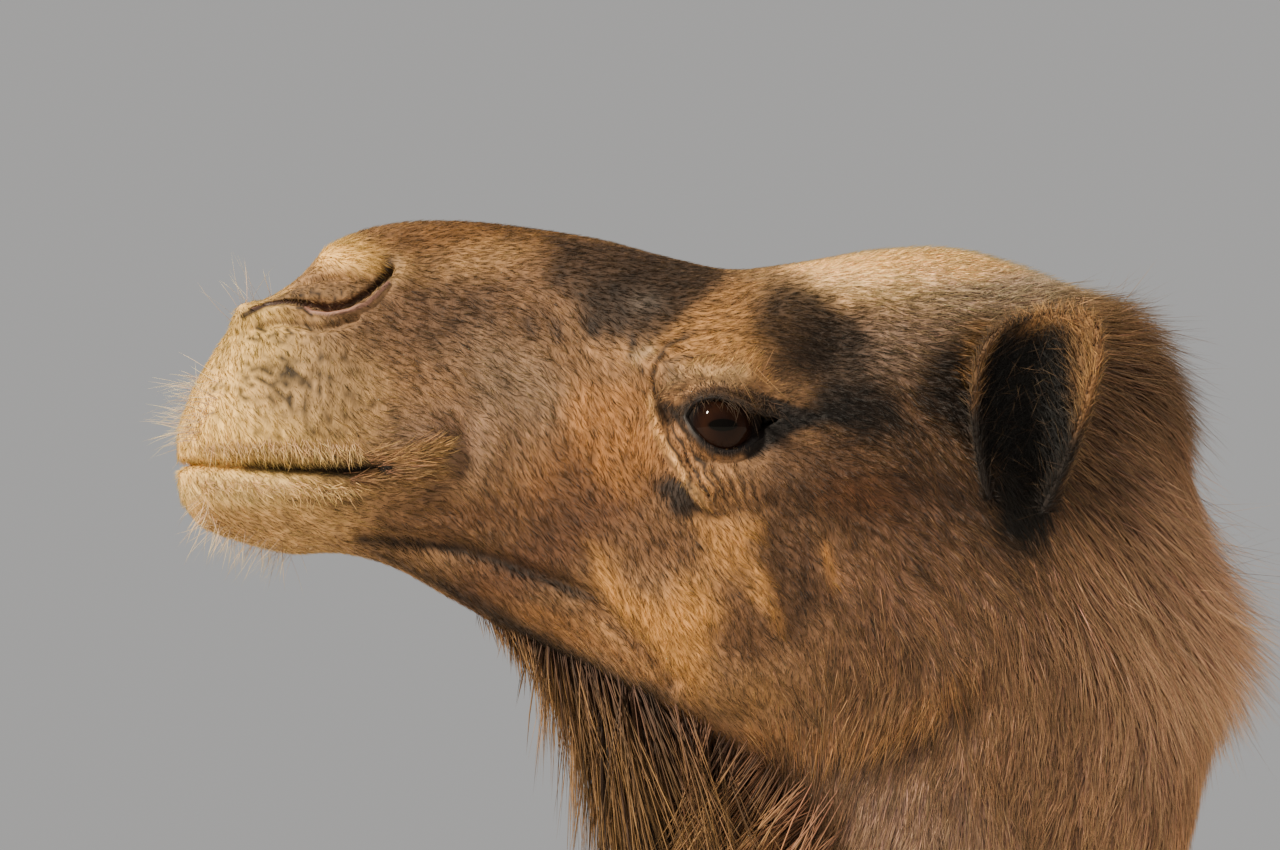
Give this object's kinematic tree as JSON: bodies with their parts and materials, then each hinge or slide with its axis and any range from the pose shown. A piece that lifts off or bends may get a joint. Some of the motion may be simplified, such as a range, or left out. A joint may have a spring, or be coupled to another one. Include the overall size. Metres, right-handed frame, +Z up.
{
  "type": "dromedary camel",
  "caption": "Life-size dromedary camel standing on broad padded feet, its long neck curved up and its head held level.",
  "frame": {"origin": "on the floor, under the middle of the model's bounding box", "axes": "+Z up from the soles; -Y is the way the animal faces; +X is its own left side"},
  "size_m": [0.6083, 2.416, 2.235],
  "materials": {
    "coat": "short matt hair over skin",
    "dark_hair": "long coarse hair",
    "horn": "dull horn",
    "eye": "wet and glossy",
    "callus": "dry, cracked hard skin"
  },
  "bodies": {
    "root": {"head": "coat", "lower_jaw": "coat", "ear_left": "coat", "ear_right": "coat", "eye_left": "eye", "eye_right": "eye", "neck_upper": "coat", "neck_middle": "coat", "neck_lower": "coat", "trunk": "coat", "hump": "coat", "chest_pad": "callus", "tail": "coat", "tail_tuft": "dark_hair", "fore_left_shoulder": "coat", "fore_left_forearm": "coat", "fore_left_cannon": "coat", "fore_left_foot": "coat", "fore_left_inner_nail": "horn", "fore_left_outer_nail": "horn", "fore_right_shoulder": "coat", "fore_right_forearm": "coat", "fore_right_cannon": "coat", "fore_right_foot": "coat", "fore_right_inner_nail": "horn", "fore_right_outer_nail": "horn", "hind_left_thigh": "coat", "hind_left_gaskin": "coat", "hind_left_shank": "coat", "hind_left_foot": "coat", "hind_left_inner_nail": "horn", "hind_left_outer_nail": "horn", "hind_right_thigh": "coat", "hind_right_gaskin": "coat", "hind_right_shank": "coat", "hind_right_foot": "coat", "hind_right_inner_nail": "horn", "hind_right_outer_nail": "horn"}
  },
  "joints": []
}
